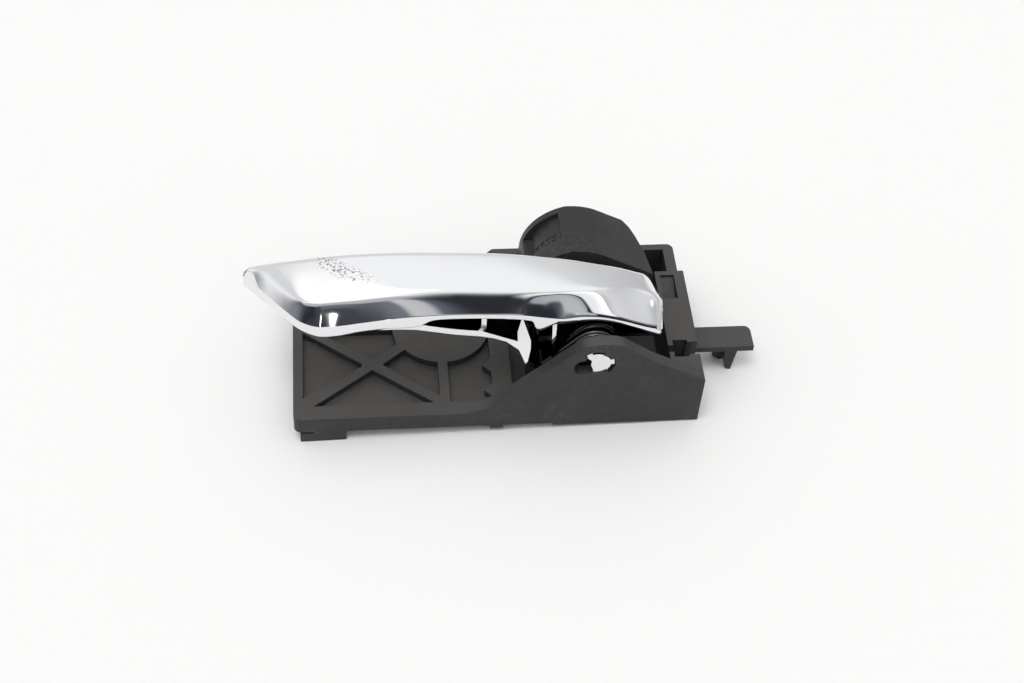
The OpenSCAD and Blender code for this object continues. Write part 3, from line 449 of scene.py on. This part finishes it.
# A smooth curve through the points, as in the part's source
def curve(points, x):
    i = 0
    while i < len(points) - 2 and x >= points[i + 1][0]:
        i += 1

    def steep(k):
        a, b = max(k - 1, 0), min(k + 1, len(points) - 1)
        return (points[b][1] - points[a][1]) / (points[b][0] - points[a][0])

    width = points[i + 1][0] - points[i][0]
    t = (x - points[i][0]) / width
    return (
        (2 * t**3 - 3 * t**2 + 1) * points[i][1]
        + (t**3 - 2 * t**2 + t) * width * steep(i)
        + (3 * t**2 - 2 * t**3) * points[i + 1][1]
        + (t**3 - t**2) * width * steep(i + 1)
    )


def soft_min(a, b, k):
    return (a + b - math.sqrt((a - b) ** 2 + k * k)) / 2


# The height of the blade's top at share u of the reach, y from the housing's front
def top_at(u, y, soft):
    a, b = FRONT_Y + curve(FRONT_IN, u), REAR_Y - curve(REAR_IN, u)
    lip = PIVOT_Z + curve(LIP_TOP, u)
    crease = PIVOT_Z + curve(CREASE, u)
    ridge = PIVOT_Z + curve(RIDGE, u)
    w = soft_min(SLOPE * curve(SLOPE_SHARE, u), (b - a) * WIDEST_SLOPE, SLOPE_SOFTNESS)
    t = (y - a) / (b - a)
    deck = crease + (ridge - crease) * (y - a - w) / (b - a - w) + 4 * CROWN * t * (1 - t)
    foot = lip + max(0, curve(LIP_RISE, u))
    side = foot + (crease - foot) * (y - a) / w
    edge = min(REAR_ROUND, (b - a) / 2)
    over = max(0, y - (b - edge)) / edge
    soft *= min(1, (b - a) / 6)
    roll = curve(LIP_ROLL, u)
    under = max(0, a + roll - y) / roll
    end = max(0, (u - TAIL_END) * REACH + END_ROUND) / END_ROUND
    drop = (
        edge * (1 - math.sqrt(max(0, 1 - over**2)))
        + roll * (1 - math.sqrt(max(0, 1 - under**2)))
        + END_ROUND * (1 - math.sqrt(max(0, 1 - end**2)))
    )
    return max(lip - roll + LEAST_FACE, soft_min(deck, side, soft) - drop)


def blade_ring(u, steps, soft):
    a, b = FRONT_Y + curve(FRONT_IN, u), REAR_Y - curve(REAR_IN, u)
    x = PIVOT_X + u * REACH
    low = PIVOT_Z + curve(LIP_TOP, u) - LIP * curve(LIP_SHARE, u)
    nose = min(NOSE, (b - a) / 4)
    flap = low - curve(FLAP, u)
    ring = [(x, a + LIP_WALL, low + WALL_RISE), (x, a + LIP_WALL, flap + LEAST_RISE)]
    for degrees in (90, 60, 30, 0):
        turn = math.radians(degrees)
        ring.append((x, a + nose * (1 - math.cos(turn)), flap + nose * (1 - math.sin(turn))))
    lip = top_at(u, a, soft)
    ring += [(x, a, flap + nose + (lip - flap - nose) * s) for s in (0.25, 0.5, 0.75, 0.93)]
    for t in steps:
        y = a + t * (b - a)
        ring.append((x, y, max(top_at(u, y, soft), low + nose + LEAST_RISE)))
    tail = ring[-1][2]
    ring += [(x, b, tail + (low + nose - tail) * s) for s in (0.35, 0.7, 1)]
    ring.append((x, b - nose, low))
    return ring


def make_blade():
    steps = [(i / ACROSS) ** CROWDED_TO_FRONT * ROUND_FROM for i in range(ACROSS + 1)]
    for i in range(1, ROUND_STEPS + 1):
        turn = math.radians(90 * i / ROUND_STEPS)
        steps.append(ROUND_FROM + (1 - ROUND_FROM) * math.sin(turn))
    steps[0] = FIRST_STEP
    length = REACH + TAIL
    work = bmesh.new()
    grid = []
    for i in range(STATIONS + 1):
        x = PIVOT_X - REACH + length * (1 - math.cos(math.pi * i / STATIONS)) / 2
        ring = blade_ring((x - PIVOT_X) / REACH, steps, DECK_SOFTNESS)
        grid.append([
            work.verts.new(((x - SCREW_X) * MM, (y - SCREW_Y) * MM, z * MM)) for x, y, z in ring
        ])
    for near, far in zip(grid, grid[1:]):
        for k in range(len(near) - 1):
            work.faces.new((near[k], near[k + 1], far[k + 1], far[k]))
    work.faces.new(grid[0])
    work.faces.new(list(reversed(grid[-1])))
    bmesh.ops.recalc_face_normals(work, faces=work.faces)
    smooth_by_angle(work, BLADE_SHARP_FROM)
    mesh = bpy.data.meshes.new("plated_blade")
    work.to_mesh(mesh)
    work.free()
    return link("plated_blade", mesh)


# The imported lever's outer faces are found by these distances from the blade's surfaces
SOLID_SOFTNESS = 1.6
TOP_TOLERANCE = 0.3
EDGE_TOLERANCE = 0.15
EDGE_BEYOND = 0.25
FOOT_TOLERANCE = 0.1


def on_blade(point):
    x, y, z = point.x / MM + SCREW_X, point.y / MM + SCREW_Y, point.z / MM
    u = max(-1, min(TAIL_END, (x - PIVOT_X) / REACH))
    a, b = FRONT_Y + curve(FRONT_IN, u), REAR_Y - curve(REAR_IN, u)
    low = PIVOT_Z + curve(LIP_TOP, u) - LIP * curve(LIP_SHARE, u)
    if z < low - FOOT_TOLERANCE or y < a - EDGE_BEYOND or y > b + EDGE_BEYOND:
        return False
    if abs(y - a) < EDGE_TOLERANCE or abs(y - b) < EDGE_TOLERANCE:
        return z > low + FOOT_TOLERANCE
    return abs(z - top_at(u, max(a, min(b, y)), SOLID_SOFTNESS)) < TOP_TOLERANCE


def inside_face(face):
    return not all(on_blade(v.co) for v in face.verts)


PLATING_BRIGHT = (0.84, 0.85, 0.87, 1)
PLATING_WORN = (0.2, 0.2, 0.21, 1)
# The dark grey of the painted shade in the lever's hollows
PAINTED_SHADE_GREY = (0.12, 0.12, 0.13, 1)
# The rubbed strip lies aslant across the deck near the tip, in the frame's millimetres
RUB_START, RUB_FULL = -36.5 * MM, -33 * MM
RUB_FADES, RUB_END = -24 * MM, -16 * MM
RUB_LEAN_X, RUB_LEAN_Y, RUB_OFFSET = 0.51, 0.86, 27.2 * MM
RUB_HALF_WIDTH, RUB_CORE = 3 * MM, 0.8 * MM
RUB_LOW, RUB_HIGH = 44.8 * MM, 46 * MM
RUB_SPECKS = 1300
RUB_ROUGHNESS = 0.25
PLATING_WAVES = 45
PLATING_WAVE_DEPTH = 0.1 * MM
PAINTED_SHADE_REACH = 12 * MM


# Bright plating; for hollow insides it also has painted shade, turning dark grey where ambient occlusion
# finds a sheltered place
def plating(name, shaded_hollows=False):
    material, nodes, links = new_material(name)
    shader = nodes["Principled BSDF"]
    shader.inputs["Metallic"].default_value = 1
    coordinate = nodes.new("ShaderNodeTexCoord")
    split = nodes.new("ShaderNodeSeparateXYZ")
    links.new(coordinate.outputs["Object"], split.inputs[0])
    x, y, z = split.outputs
    along = compute(
        nodes, links, "MULTIPLY",
        ramp(nodes, links, x, RUB_START, RUB_FULL, 0, 1), ramp(nodes, links, x, RUB_END, RUB_FADES, 0, 1),
    )
    aslant = compute(
        nodes, links, "ADD",
        compute(nodes, links, "MULTIPLY", x, RUB_LEAN_X), compute(nodes, links, "MULTIPLY", y, RUB_LEAN_Y),
    )
    beside = compute(nodes, links, "ABSOLUTE", compute(nodes, links, "ADD", aslant, RUB_OFFSET))
    up = ramp(nodes, links, z, RUB_LOW, RUB_HIGH, 0, 1)
    strip = ramp(nodes, links, beside, RUB_HALF_WIDTH, RUB_CORE, 0, 1)
    place = compute(nodes, links, "MULTIPLY", compute(nodes, links, "MULTIPLY", along, up), strip)
    specks = noise(nodes, links, RUB_SPECKS, detail=5, stretch=(1, 1.6, 1))
    rubbed = compute(nodes, links, "MULTIPLY", place, ramp(nodes, links, specks, 0.52, 0.6, 0, 1))
    haze = noise(nodes, links, scale=80)
    rough = compute(
        nodes, links, "ADD",
        ramp(nodes, links, haze, 0.3, 0.7, 0.03, 0.06),
        compute(nodes, links, "MULTIPLY", rubbed, RUB_ROUGHNESS),
    )
    links.new(rough, shader.inputs["Roughness"])
    worn = nodes.new("ShaderNodeMixRGB")
    worn.inputs[1].default_value = PLATING_BRIGHT
    worn.inputs[2].default_value = PLATING_WORN
    links.new(rubbed, worn.inputs[0])
    colour = worn.outputs[0]
    # Painted shade: the plating turns dark grey in sheltered places, by ambient occlusion
    if shaded_hollows:
        occlusion_node = nodes.new("ShaderNodeAmbientOcclusion")
        occlusion_node.inputs["Distance"].default_value = PAINTED_SHADE_REACH
        shade_mix = nodes.new("ShaderNodeMixRGB")
        shade_mix.inputs[1].default_value = PAINTED_SHADE_GREY
        links.new(colour, shade_mix.inputs[2])
        links.new(ramp(nodes, links, occlusion_node.outputs["AO"], 0.15, 0.8, 0, 1), shade_mix.inputs[0])
        colour = shade_mix.outputs[0]
    links.new(colour, shader.inputs["Base Color"])
    waves = noise(nodes, links, PLATING_WAVES, detail=1)
    links.new(bump(nodes, links, waves, PLATING_WAVE_DEPTH, strength=0.5), shader.inputs["Normal"])
    return material


# The fang and the rib beside it lean towards the front wall as they go down
FANG_TOP = 28.3
FANG_TIP = 18.6
FANG_X = 62.6
FANG_THICK = 3
FANG_END_X = 67.6
FANG_LEAN = 2.2
FANG_RISE = 2.4
FANG_NARROWS = 0.8
WALL_X = 63.7
WALL_TOP = 33
WALL_NARROWED_TO = 0.15
RIB_X = 73.2
RIB_HALF = 1.4
RIB_FOOT = 21.8
RIB_RUN = 16
RIB_LEAN = 3
RIB_LEAN_BACK = 2.4
FACE_REACH = 0.3
RIB_REACH = 2
RIB_SPARE = 0.5


def lean_forward(work):
    for centre, way in (
        (((FANG_X - SCREW_X) * MM, 0, 0), (1, 0, 0)), ((0, 0, FANG_TOP * MM), (0, 0, 1)),
    ):
        whole = work.verts[:] + work.edges[:] + work.faces[:]
        bmesh.ops.bisect_plane(work, geom=whole, plane_co=centre, plane_no=way, dist=WELD / 2)
    for v in work.verts:
        x, y, z = v.co.x / MM + SCREW_X, v.co.y / MM + SCREW_Y, v.co.z / MM
        on_front = y < FRONT_Y + FACE_REACH
        on_rib = abs(x - RIB_X) < RIB_HALF and y < FRONT_Y + RIB_REACH
        if FANG_X - LIP_WALL < x < FANG_END_X and z > WALL_TOP:
            x = WALL_X + (x - WALL_X) * WALL_NARROWED_TO
        elif FANG_X - 0.01 < x < FANG_END_X and z < FANG_TOP and on_front:
            down = min(1, (FANG_TOP - z) / (FANG_TOP - FANG_TIP))
            y -= FANG_LEAN * down
            z += FANG_RISE * down
            x -= FANG_NARROWS * down if x > FANG_X + FANG_THICK else 0
        elif on_rib and RIB_FOOT - RIB_SPARE < z < RIB_FOOT + RIB_RUN + RIB_SPARE:
            y += (RIB_LEAN + RIB_LEAN_BACK) * (z - RIB_FOOT) / RIB_RUN - RIB_LEAN
        v.co = ((x - SCREW_X) * MM, (y - SCREW_Y) * MM, z * MM)
    bmesh.ops.triangulate(work, faces=[f for f in work.faces if len(f.verts) > 4])


def make_lever():
    blade = make_blade()
    inner = bake(cad_copy("lever_inside", "lever", 1.0, 0.3, keep=inside_face, reshape=lean_forward))
    blade.data.materials.append(plating("bright_plating"))
    # The lever's inside gets the plating with painted shade in its hollows.
    inner.data.materials.append(plating("plating_with_painted_shade", shaded_hollows=True))
    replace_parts(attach(blade, "lever"), "lever")
    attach(inner, "lever")


make_lever()

# Lock knob
# A hollow moulding in the housing's black with a rounded drum, a ramp and a thumb recess
# with small raised dots. It turns on the pin beside the lever.
KNOB_BLACK = (0.032, 0.031, 0.031, 1)
KNOB_RUBBED = (0.055, 0.053, 0.052, 1)
# The dots stand in four rows about the pin's axis, three to a row along it
DOT_ANGLES = (152.4, 144.1, 135.9, 127.6)
DOT_PLACES = (34.7, 36.5, 38.3)
DOT_RADIUS = 0.75 * MM
DOT_FLATNESS = 0.7
OUTSIDE_KNOB = 30 * MM


def make_knob():
    piece = bake(cad_copy("lock_knob_moulding", "lock_knob", flat=2.0, round_off=0.4))
    piece.data.materials.append(moulded_plastic(
        "knob_black", KNOB_BLACK, rough=0.42, grain=3000, depth=0.03 * MM, rubbed=KNOB_RUBBED
    ))
    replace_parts(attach(piece, "lock_knob"), "lock_knob")
    return piece


def make_dots(knob):
    work = bmesh.new()
    flattened = Matrix.Diagonal((1, 1, DOT_FLATNESS, 1))
    for angle in DOT_ANGLES:
        for y in DOT_PLACES:
            out = Vector((math.cos(math.radians(angle)), 0, math.sin(math.radians(angle))))
            centre = Vector((PIVOT_X - SCREW_X, y - SCREW_Y, PIVOT_Z)) * MM
            _, place, normal, _ = knob.ray_cast(centre + out * OUTSIDE_KNOB, -out)
            turn = normal.to_track_quat("Z", "Y").to_matrix().to_4x4()
            shape = Matrix.Translation(place) @ turn @ flattened
            bmesh.ops.create_uvsphere(
                work, u_segments=16, v_segments=10, radius=DOT_RADIUS, matrix=shape
            )
    for face in work.faces:
        face.smooth = True
    mesh = bpy.data.meshes.new("knob_dots")
    work.to_mesh(mesh)
    work.free()
    mesh.materials.append(knob.data.materials[0])
    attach(link("knob_dots", mesh), "lock_knob")


make_dots(make_knob())

# Pin, washer, springs
# Turned and drawn steel, zinc plated on the pin and washer, bare and lightly greased on the
# springs. The pin is pushed in from behind; the springs sit about the hubs and on the floor.
ZINC = (0.62, 0.62, 0.6, 1)
SPRING_GREY = (0.13, 0.13, 0.13, 1)
DRAWN_MARKS = 900
MARK_DEPTH = 0.02 * MM
METAL_FLAT = 0.5
WIRE_SHARP_FROM = 50


def steel(name, colour, rough, stretch):
    material, nodes, links = new_material(name)
    shader = nodes["Principled BSDF"]
    shader.inputs["Metallic"].default_value = 1
    shader.inputs["Base Color"].default_value = colour
    marks = noise(nodes, links, DRAWN_MARKS, detail=6, stretch=stretch)
    links.new(ramp(nodes, links, marks, 0.3, 0.7, rough - 0.08, rough + 0.12), shader.inputs["Roughness"])
    links.new(bump(nodes, links, marks, MARK_DEPTH), shader.inputs["Normal"])
    return material


def make_metal_pieces():
    zinc = steel("zinc_plated_steel", ZINC, rough=0.3, stretch=(1, 6, 1))
    drawn = steel("spring_steel", SPRING_GREY, rough=0.34, stretch=(1, 1, 1))
    for name, node, metal, slot in (
        ("turned_pin", "pivot_pin", zinc, "pin_steel"),
        ("flat_washer", "knob_washer", zinc, "pin_steel"),
        ("return_spring", "lever_spring", drawn, "spring_steel"),
        ("leaf_spring", "detent_leaf", drawn, "spring_steel"),
    ):
        piece = bake(cad_copy(name, node, METAL_FLAT, round_off=0), WIRE_SHARP_FROM)
        piece.data.materials.append(metal)
        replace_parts(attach(piece, "housing"), node)


make_metal_pieces()

# Sleeve and stops
# The sleeve is natural slippery plastic, turned from bar; the stops are soft black rubber,
# one pressed over a post, the other stood against the floor.
SLEEVE_CREAM = (0.62, 0.59, 0.5, 1)
SLEEVE_GREASED = (0.5, 0.46, 0.38, 1)
RUBBER_BLACK = (0.018, 0.018, 0.019, 1)
RUBBER_PALE = (0.03, 0.03, 0.03, 1)
SOFT_FLAT = 0.5
SOFT_ROUND = 0.25
SOFT_SHARP_FROM = 40


def make_soft_pieces():
    sleeve = moulded_plastic(
        "sleeve_plastic", SLEEVE_CREAM, rough=0.4, grain=900, depth=0.02 * MM, rubbed=SLEEVE_GREASED
    )
    rubber = moulded_plastic(
        "stop_rubber", RUBBER_BLACK, rough=0.75, grain=1400, depth=0.05 * MM, rubbed=RUBBER_PALE
    )
    for name, node, material, slot in (
        ("spacer", "spacer_sleeve", sleeve, "sleeve_plastic"),
        ("rubber_cap", "lever_stop", rubber, "stop_rubber"),
        ("rubber_block", "knob_stop", rubber, "stop_rubber"),
    ):
        piece = bake(cad_copy(name, node, SOFT_FLAT, SOFT_ROUND), SOFT_SHARP_FROM)
        piece.data.materials.append(material)
        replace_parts(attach(piece, "housing"), node)


make_soft_pieces()
